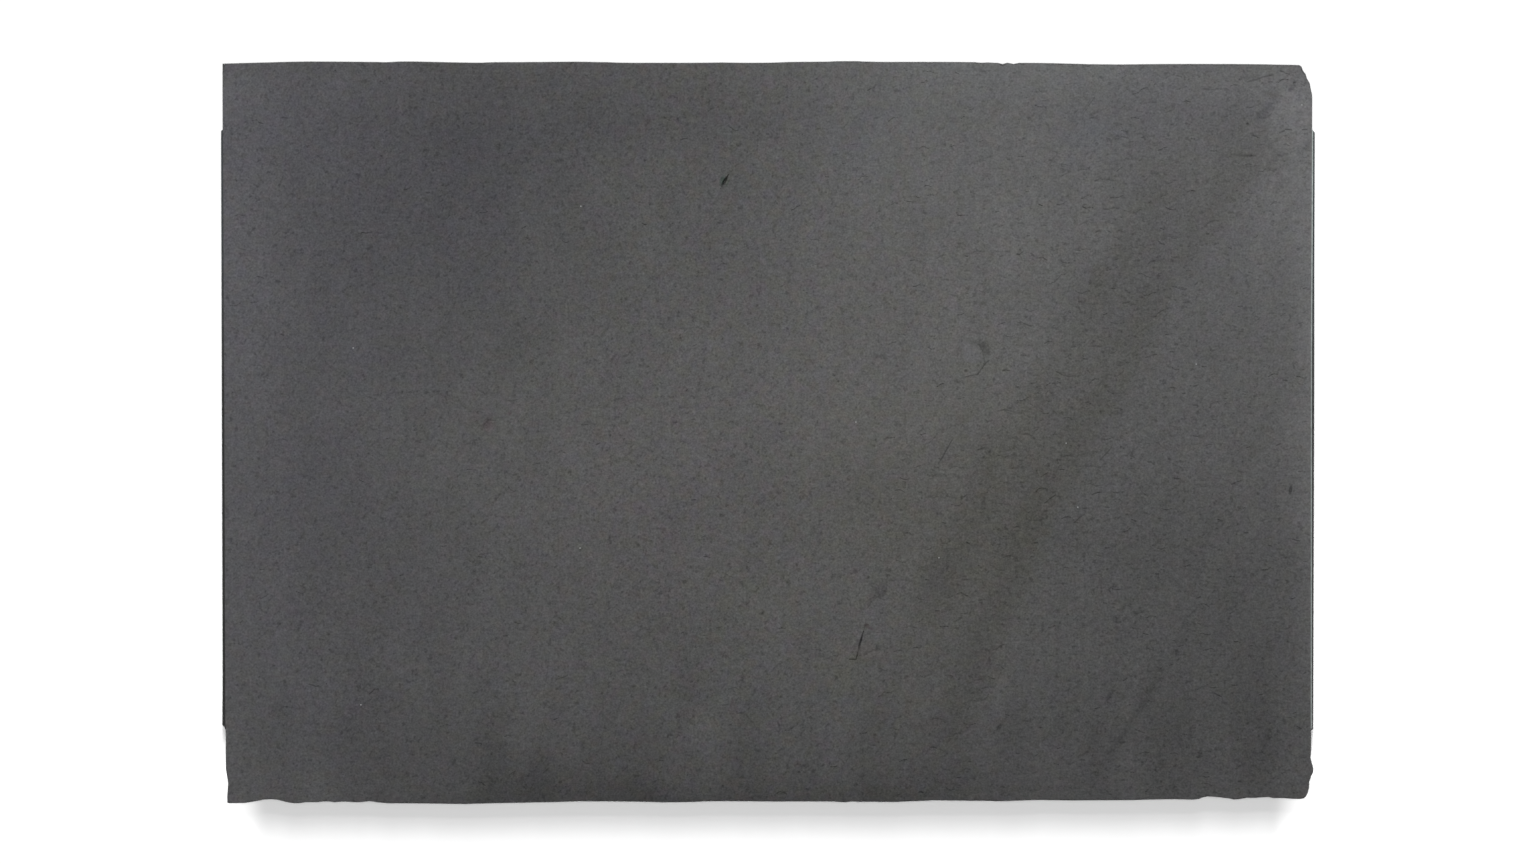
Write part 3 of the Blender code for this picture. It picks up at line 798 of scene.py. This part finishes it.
def arris_widths(points, normals):
    """The width of the worn arris at each station, with small nibbles out of the rough edges."""
    rng = random.Random(SEED + 2)
    mean, more, swing = ARRIS_WIDTH
    widths = []
    for point, normal in zip(points, normals):
        share = raggedness(point, normal)
        worn = (mean + share * (more + swing * wave(point.x, point.y, 0.03, 21.0))) * MM
        widths.append(max(worn, arris_reach(point, normal)))
    for _ in range(NIBBLE_COUNT):
        middle = rng.randrange(len(points))
        half, depth = rng.uniform(*NIBBLE_LENGTH) / 2, rng.uniform(*NIBBLE_DEPTH)
        reach = max(1, round(half / STATION))
        for i in range(middle - reach, middle + reach + 1):
            at = i % len(points)
            away = (points[at] - points[middle]).length
            if raggedness(points[at], normals[at]) > SAWN_ROUGH and away < half + STATION / 2:
                widths[at] += depth * max(0.2, 1 - (away / (half + STATION / 2)) ** 2)
    return widths


def flank_loops(solid, points, normals):
    """The flank's closed loops of 3D points, from the back's rim up to the face's."""
    widths = arris_widths(points, normals)
    edges = [p + n * arris_reach(p, n) for p, n in zip(points, normals)]
    rim = [p - n * w for p, n, w in zip(edges, normals, widths)]
    tops = [face_height(p.x, p.y) for p in rim]
    drops = [ARRIS_DROP[0] + ARRIS_DROP[1] * w for w in widths]
    loops = []
    floor_loop = [flank_surface(solid, p, n, BACK_ARRIS * MM) for p, n in zip(points, normals)]
    loops.append([(*(p - n * BACK_ARRIS * MM), 0.0) for p, n in zip(floor_loop, normals)])
    bottoms = [BACK_ARRIS] + [joint + JOINT_GAP for joint in JOINTS]
    for lamina, low in enumerate(bottoms):
        last = lamina == len(bottoms) - 1
        for height in (low, None if last else JOINTS[lamina]):
            loop = []
            for p, n, top, drop in zip(points, normals, tops, drops):
                z = top - drop if height is None else height * MM
                met = flank_surface(solid, p, n, min(z, top - NODE_ARRIS))
                worn = 0.0 if height is None else lamina_wear(p, lamina, raggedness(p, n))
                loop.append((*(met - n * worn), min(z, top - drop)))
            loops.append(loop)
    inwards, downwards = ARRIS_BULGE
    loops.append([(*(p - n * w * inwards), top - drop * downwards)
                  for p, n, w, top, drop in zip(edges, normals, widths, tops, drops)])
    loops.append([(p.x, p.y, top) for p, top in zip(rim, tops)])
    return loops, rim


# --- The stone's mesh ---


class StoneMesh:
    """Vertices with a darkness and a paleness, and triangles with a material number."""

    def __init__(self):
        self.verts, self.shades, self.pales = [], [], []
        self.faces, self.materials = [], []

    def add_vert(self, co, shade=0.0, pale=0.0):
        self.verts.append(tuple(co))
        self.shades.append(shade)
        self.pales.append(pale)
        return len(self.verts) - 1

    def add_strip(self, lower, upper, materials):
        """A closed strip between two rings, with a material number for each of its segments."""
        for i, material in enumerate(materials):
            j = (i + 1) % len(lower)
            self.faces.append((lower[i], lower[j], upper[j]))
            self.faces.append((lower[i], upper[j], upper[i]))
            self.materials += [material, material]

    def fill(self, rim, inner, material, upwards):
        """Triangles over a rim and the vertices inside it."""
        numbers = rim + inner
        flat = [Vector(self.verts[i][:2]) for i in numbers]
        _, _, faces, sources, _, _ = delaunay_2d_cdt(flat, [], [list(range(len(rim)))], 1, 1e-9)
        for face in faces:
            a, b, c = (numbers[sources[i][0]] for i in face)
            pa, pb, pc = (Vector(self.verts[i][:2]) for i in (a, b, c))
            turns_left = (pb - pa).cross(pc - pa) > 0
            self.faces.append((a, b, c) if turns_left == upwards else (a, c, b))
            self.materials.append(material)

    def to_object(self, name, materials):
        mesh = bpy.data.meshes.new(name)
        mesh.from_pydata(self.verts, [], self.faces)
        mesh.polygons.foreach_set("material_index", self.materials)
        for attribute, values in (("shade", self.shades), ("pale", self.pales)):
            mesh.attributes.new(attribute, "FLOAT", "POINT").data.foreach_set("value", values)
        mesh.update()
        mesh.shade_smooth()
        mesh.set_sharp_from_angle(angle=math.radians(CREASE))
        for material in materials:
            mesh.materials.append(material)
        return new_object(name, mesh)


def face_points(rim, normals):
    points = FacePoints(rim, normals)
    for line in LINES:
        add_line(points, line)
    for hollow in HOLLOWS:
        add_hollow(points, hollow)
    for hollow in HOLLOWS:
        claim_hollow(points, hollow)
    add_grains(points)
    add_pits(points)
    add_filling(points)
    return points


def back_points(rim, normals):
    edge = FacePoints(rim, normals)
    return [place for place in scattered(SEED + 3, BACK_SPACING, 0.3, 0.7)
            if edge.inside(*place, BACK_MARGIN)]


def stone(materials):
    """The slab's fine mesh, in the node's place."""
    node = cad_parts[NODE]
    solid = BVHTree.FromPolygons([v.co for v in node.data.vertices],
                                 [p.vertices[:] for p in node.data.polygons])
    points = stations(outline_at(node.data, OUTLINE_HEIGHT))
    normals = outward_normals(points)
    loops, rim = flank_loops(solid, points, normals)
    mesh = StoneMesh()
    rings = []
    for level, loop in enumerate(loops):
        ring = []
        for co, point, normal in zip(loop, points, normals):
            # Vertices on the ledges carry their painted shade as darkness.
            ledge = on_ledge(point, normal) and 0 < level and co[2] < LEDGE_TOP + 1 * MM
            ring.append(mesh.add_vert(co, ledge_shade(point) if ledge else 0.0))
        rings.append(ring)
    edge = [EDGE] * len(points)
    # The arris strips over the right ledge take the painted highlight.
    worn = [ARRIS if p.x > 0 and on_ledge(p, n) else EDGE for p, n in zip(points, normals)]
    for level, (lower, upper) in enumerate(zip(rings, rings[1:])):
        mesh.add_strip(lower, upper, worn if level >= len(rings) - 3 else edge)
    face = face_points(rim, normals)
    inner = []
    for x, y, depth, shade, pale in face.found:
        # The hollows' painted shade joins the darkness of the lines and pits.
        shade = max(shade, hollow_shade(x, y))
        inner.append(mesh.add_vert((x, y, face_height(x, y) - depth), shade, pale))
    mesh.fill(rings[-1], inner, FACE, upwards=True)
    back_rim = [Vector(co[:2]) for co in loops[0]]
    back = [mesh.add_vert((x, y, 0.0)) for x, y in back_points(back_rim, normals)]
    mesh.fill(rings[0], back, BACK, upwards=False)
    return mesh.to_object("slate_slab_stone", materials)


# --- Materials ---


class Graph:
    """A material's nodes, made and linked in one go."""

    def __init__(self, name):
        self.material = bpy.data.materials.new(name)
        self.material.use_nodes = True
        self.tree = self.material.node_tree
        self.shader = self.tree.nodes["Principled BSDF"]

    def node(self, kind, inputs=None, **settings):
        made = self.tree.nodes.new("ShaderNode" + kind)
        for name, value in settings.items():
            setattr(made, name, value)
        for key, value in (inputs or {}).items():
            if isinstance(value, bpy.types.NodeSocket):
                self.tree.links.new(value, made.inputs[key])
            else:
                made.inputs[key].default_value = value
        return made

    def maths(self, operation, *values):
        return self.node("Math", dict(enumerate(values)), operation=operation).outputs[0]

    def plus(self, a, b):
        return self.maths("ADD", a, b)

    def times(self, a, b):
        return self.maths("MULTIPLY", a, b)

    def times_plus(self, a, b, c):
        return self.maths("MULTIPLY_ADD", a, b, c)

    def vector(self, operation, *values):
        return self.node("VectorMath", dict(enumerate(values)), operation=operation).outputs[0]

    def place(self):
        return self.node("TexCoord").outputs["Object"]

    def turned(self, place, turn):
        """The place in axes turned anticlockwise by so many degrees."""
        rotation = (0, 0, math.radians(-turn))
        return self.node("Mapping", {"Vector": place, "Rotation": rotation}).outputs[0]

    def noise(self, place, size, detail=2.0, roughness=0.5, stretch=(1, 1, 1)):
        """Cloudy noise round 0, whose clouds are about size metres across."""
        scaled = self.vector("MULTIPLY", place, stretch)
        made = self.node("TexNoise", {"Vector": scaled, "Scale": 1 / size, "Detail": detail,
                                      "Roughness": roughness})
        return self.maths("SUBTRACT", made.outputs["Fac"], 0.5)

    def layers(self, place, *listed):
        """The sum of layers of noise: each one's strength, then what noise() takes."""
        total = 0.0
        for strength, *kind in listed:
            total = self.times_plus(self.noise(place, *kind), strength, total)
        return total

    def bent(self, place, size, reach):
        """The place, moved about by up to half of reach with clouds of that size."""
        made = self.node("TexNoise", {"Vector": place, "Scale": 1 / size, "Detail": 1.0})
        centred = self.vector("SUBTRACT", made.outputs["Color"], (0.5, 0.5, 0.5))
        return self.vector("MULTIPLY_ADD", centred, (reach, reach, 0.0), place)

    def ramp(self, value, low, high, to_low=0.0, to_high=1.0):
        made = self.node("MapRange", {"Value": value, "From Min": low, "From Max": high,
                                      "To Min": to_low, "To Max": to_high},
                         interpolation_type="SMOOTHSTEP", clamp=False)
        return made.outputs["Result"]

    def area(self, place, x, y, half_length, half_width, turn, soft):
        """1 inside a soft ellipse and 0 outside."""
        inner = self.node("Mapping", {"Vector": place, "Location": (x * MM, y * MM, 0),
                                      "Rotation": (0, 0, math.radians(turn)),
                                      "Scale": (half_length * MM, half_width * MM, 1000)},
                          vector_type="TEXTURE")
        depth = self.node("TexGradient", {"Vector": inner.outputs[0]}, gradient_type="SPHERICAL")
        return self.ramp(depth.outputs["Fac"], 0.0, soft)

    def attribute(self, name):
        return self.node("Attribute", attribute_name=name).outputs["Fac"]

    def grey(self, value):
        return self.node("CombineXYZ", {0: value, 1: value, 2: value}).outputs[0]

    def finish(self, colour, place, roughness, bumps, *layers):
        """Links a colour, and the roughness and bumps of one of the surfaces above."""
        mean, spread, size = roughness
        rough = self.times_plus(self.noise(place, size), spread, mean)
        height, strength = bumps
        bump = self.node("Bump", {"Height": self.layers(place, *layers), "Distance": height,
                                  "Strength": strength})
        self.tree.links.new(colour, self.shader.inputs["Base Color"])
        self.tree.links.new(rough, self.shader.inputs["Roughness"])
        self.tree.links.new(bump.outputs[0], self.shader.inputs["Normal"])
        self.shader.inputs["Specular IOR Level"].default_value = SPECULAR
        return self.material


def tone(graph, levels):
    """The stone's colour after adding levels of grey, a vector, to its mean."""
    share = graph.vector("MULTIPLY", levels, (1 / LEVEL,) * 3)
    lightness = graph.vector("ADD", share, (1.0, 1.0, 1.0))
    powered = graph.vector("POWER", lightness, (LIGHTNESS_POWER,) * 3)
    return graph.vector("MULTIPLY", powered, STONE)


def blots(graph, place, amount, size, low, high, stretch=(1, 1, 1)):
    """Small dark blots of ragged shape, in grey levels."""
    return graph.times(graph.ramp(graph.noise(place, size, 1.0, 0.5, stretch), low, high), amount)


# A face's levels are three numbers: green, how far red is over green, and blue over green.


def add_tone(graph, levels, share, red, green, blue):
    """The levels with a share of a tone added, which is given in grey levels."""
    amounts = (green, red - green, blue - green)
    return [graph.times_plus(share, amount, level) if amount else level
            for amount, level in zip(amounts, levels)]


def add_area(graph, place, levels, x, y, half_length, half_width, amount, turn=0, soft=1.0):
    """The levels with one row of AREAS or MARKS added."""
    share = graph.area(place, x, y, half_length, half_width, turn, soft)
    amounts = amount if isinstance(amount, tuple) else (amount,) * 3
    return add_tone(graph, levels, share, *amounts)


def band(graph, x, y, levels):
    """The levels with the brown band added."""
    a, b, c = BAND_LINE
    slope = graph.times_plus(y, c, b)
    offset = graph.maths("SUBTRACT", x, graph.times_plus(y, slope, a))
    ends = graph.times(graph.ramp(y, *BAND_TOP), graph.ramp(y, *BAND_BOTTOM))
    for left_outer, left_inner, right_inner, right_outer, *amounts in BAND_STRIPS:
        left = graph.times(graph.ramp(offset, left_outer, left_inner), ends)
        share = graph.times(graph.ramp(offset, right_outer, right_inner), left)
        levels = add_tone(graph, levels, share, *amounts)
    return levels


def fingers(graph, x, y):
    total = 0.0
    for finger_x, half_width, top, amount in FINGERS:
        away = graph.maths("ABSOLUTE", graph.maths("SUBTRACT", x, finger_x * MM))
        rise = graph.ramp(y, top * MM, FINGER_FOOT * MM, 0.0, amount)
        total = graph.times_plus(graph.ramp(away, half_width * MM, 0.0), rise, total)
    return total


def tints(graph, place, x, levels):
    """The levels with sparse patches of violet, olive and rust added, and a faint drift of hue."""
    strength = graph.times(graph.ramp(x, *TINTS_FROM_LEFT), graph.ramp(x, *TINTS_TO_RIGHT))
    for offset, size, low, high, amounts in TINT_PATCHES:
        patch = graph.ramp(graph.noise(graph.vector("ADD", place, offset), size, 0.0), low, high)
        levels = add_tone(graph, levels, graph.times(patch, strength), *amounts)
    for offset, size, amounts in TINT_DRIFTS:
        drift = graph.noise(graph.vector("ADD", place, offset), size, 0.0)
        levels = add_tone(graph, levels, graph.times(drift, strength), *amounts)
    return levels


def mottle(graph, place, x, y):
    """Clouds, slanting wisps, and upright streaks and fingers low down, in grey levels."""
    clouds = graph.plus(graph.layers(graph.turned(place, WISP_TURN), WISPS),
                        graph.layers(place, CLOUDS))
    low_down = graph.ramp(y, *STREAKS_SPAN)
    clouds = graph.times_plus(graph.layers(place, STREAKS), low_down, clouds)
    return graph.plus(clouds, fingers(graph, x, y))


def speckle(graph, place, x):
    """Grain and blots, in grey levels."""
    slanted = blots(graph, graph.turned(place, BLOT_TURN), *SLANTED_BLOTS)
    level = blots(graph, place, *LEVEL_BLOTS)
    on_right = graph.ramp(x, *BLOT_SPAN)
    small = graph.node("Mix", {0: on_right, 2: slanted, 3: level}).outputs[0]
    large = blots(graph, graph.vector("ADD", place, (7, 3, 0)), *ROUND_BLOTS)
    grain = graph.layers(place, FINE_GRAIN, COARSE_GRAIN)
    weakest, strongest = GRAIN_STRENGTHS
    strength = graph.times_plus(graph.area(place, *GRAIN_AREA), strongest - weakest, weakest)
    return graph.times(graph.plus(grain, graph.plus(small, large)), strength)


def face_material():
    graph = Graph("riven_slate")
    place = graph.place()
    bent = place
    for bend in BENDS:
        bent = graph.bent(bent, *bend)
    x, y, _ = graph.node("SeparateXYZ", {0: bent}).outputs
    levels = (0.0, 0.0, 0.0)
    for row in AREAS:
        levels = add_area(graph, bent, levels, *row)
    levels = band(graph, x, y, levels)
    mark_place = graph.bent(place, *MARK_BEND)
    for row in MARKS:
        levels = add_area(graph, mark_place, levels, *row)
    green, red_over, blue_over = tints(graph, place, x, levels)
    greys = graph.plus(speckle(graph, place, x), mottle(graph, place, x, y))
    green = graph.plus(green, greys)
    red, blue = graph.plus(green, red_over), graph.plus(green, blue_over)
    colour = tone(graph, graph.node("CombineXYZ", {0: red, 1: green, 2: blue}).outputs[0])
    # Painted shade darkens the hollows, cracks and pits, and in the pits and cracks partly the
    # stone's own dark flecks and streaks.
    light = graph.times_plus(graph.attribute("shade"), SHADE, 1.0)
    light = graph.grey(graph.maths("MAXIMUM", light, LEAST_LIGHT))
    colour = graph.vector("MULTIPLY", colour, light)
    grains = graph.node("Mix", {"Factor": graph.attribute("pale"), "A": colour,
                                "B": GRAIN_COLOUR}, data_type="RGBA")
    return graph.finish(grains.outputs["Result"], place, *FACE_SURFACE)


def edge_material():
    """The flanks: thin laminae in slightly different greys, with painted shade on the ledges, which
    are tinted teal towards the top.
    """
    graph = Graph("slate_edge")
    place = graph.place()
    colour = tone(graph, graph.grey(graph.layers(place, FLANK_LAYERS, FINE_GRAIN, COARSE_GRAIN)))
    # The mesh's darkness here is the ledges' painted shade.
    darkness = graph.attribute("shade")
    light = graph.grey(graph.times_plus(darkness, SHADE, 1.0))
    colour = graph.vector("MULTIPLY", colour, light)
    high_up = graph.ramp(graph.node("SeparateXYZ", {0: place}).outputs[1], *TEAL_SPAN)
    on_ledges = graph.times(graph.ramp(darkness, *LEDGE_SHADES), high_up)
    teal = graph.node("Mix", {"Factor": on_ledges, "A": (1, 1, 1, 1), "B": LEDGE_TINT},
                      data_type="RGBA")
    colour = graph.vector("MULTIPLY", colour, teal.outputs["Result"])
    return graph.finish(colour, place, *EDGE_SURFACE)


def arris_material():
    """The arris over the right ledge: a painted highlight, pale, and paler towards the top of the
    face.
    """
    graph = Graph("slate_arris_painted_highlight")
    place = graph.place()
    y = graph.node("SeparateXYZ", {0: place}).outputs[1]
    chips = graph.plus(graph.layers(place, HIGHLIGHT_CHIPS), 1.0)
    grey = graph.grey(graph.times(graph.ramp(y, *HIGHLIGHT_SPAN, *HIGHLIGHT_GREYS), chips))
    return graph.finish(graph.vector("MULTIPLY", grey, HIGHLIGHT_TINT), place, *ARRIS_SURFACE)


def back_material():
    """The sawn back: paler and flat, with the faint lines that a gang saw leaves."""
    graph = Graph("slate_back")
    place = graph.place()
    greys = graph.layers(place, SAW_LINES, BACK_CLOUDS, FINE_GRAIN, COARSE_GRAIN)
    colour = tone(graph, graph.vector("ADD", graph.grey(greys), BACK_PALENESS))
    return graph.finish(colour, place, *BACK_SURFACE)


# --- Studio ---


def sun(name, elevation, spread, strength):
    """A soft, even light from far away, at that elevation over +Y."""
    data = bpy.data.lights.new(name, "SUN")
    data.energy = strength
    data.angle = math.radians(spread)
    lamp = new_object(name, data)
    lamp.rotation_euler.x = math.radians(elevation - 90)
    return lamp


def corner_fills(lit):
    """Small spots that shine straight down past the slab's lower corners, on the floor alone."""
    receivers = bpy.data.collections.new("floor_only")
    receivers.objects.link(lit)
    for number, (x, y) in enumerate(CORNER_FILLS):
        data = bpy.data.lights.new(f"corner_fill_{number}", "SPOT")
        data.energy = FILL_POWER
        data.spot_size = 2 * math.atan(FILL_RADIUS / FILL_HEIGHT)
        data.spot_blend = FILL_BLEND
        data.shadow_soft_size = 0.0
        lamp = new_object(data.name, data)
        lamp.location = (x, y, FILL_HEIGHT)
        lamp.light_linking.receiver_collection = receivers


def room():
    """Even light from all round, and a pale backdrop where the floor ends."""
    world = bpy.data.worlds.new("room")
    world.use_nodes = True
    tree = world.node_tree
    background = tree.nodes["Background"]
    background.inputs["Color"].default_value = (1.0, 1.0, 1.0, 1.0)
    seen = tree.nodes.new("ShaderNodeLightPath").outputs["Is Camera Ray"]
    strength = tree.nodes.new("ShaderNodeMapRange")
    strength.inputs["To Min"].default_value = ROOM_LIGHT
    strength.inputs["To Max"].default_value = 1.0
    tree.links.new(seen, strength.inputs["Value"])
    tree.links.new(strength.outputs["Result"], background.inputs["Strength"])
    bpy.context.scene.world = world


def floor():
    half = FLOOR_SIZE / 2
    mesh = bpy.data.meshes.new("floor")
    mesh.from_pydata([(-half, -half, 0), (half, -half, 0), (half, half, 0), (-half, half, 0)], [],
                     [(0, 1, 2, 3)])
    material = bpy.data.materials.new("floor")
    material.use_nodes = True
    shader = material.node_tree.nodes["Principled BSDF"]
    shader.inputs["Base Color"].default_value = (*FLOOR_COLOUR, 1.0)
    shader.inputs["Roughness"].default_value = 0.9
    shader.inputs["Specular IOR Level"].default_value = 0.0
    mesh.materials.append(material)
    made = new_object("floor", mesh)
    made.location.z = -FLOOR_GAP
    return made


def camera():
    """Looks straight down, with the frame's width on the face as photographed."""
    data = bpy.data.cameras.new("camera")
    data.lens, data.sensor_width = LENS, SENSOR
    data.clip_end = 200.0
    made = new_object("camera", data)
    made.location = (0, VIEW_Y, cad_box[1].z + FRAME_WIDTH * LENS / SENSOR)
    bpy.context.scene.camera = made


def main():
    camera()
    slab = stone([face_material(), edge_material(), arris_material(), back_material()])
    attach(slab, "root")
    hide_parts(NODE)
    room()
    sun("overhead", 90, OVERHEAD_SPREAD, OVERHEAD_STRENGTH)
    for number, elevation in enumerate(KEY_ELEVATIONS):
        strength = KEY_ON_FLOOR / len(KEY_ELEVATIONS) / math.sin(math.radians(elevation))
        key = sun(f"key_{number}", elevation, KEY_SPREAD, strength)
        key.visible_glossy = False  # its glare would wash out the face in low views from the front
    corner_fills(floor())
    bpy.context.scene.view_settings.view_transform = "Standard"


main()
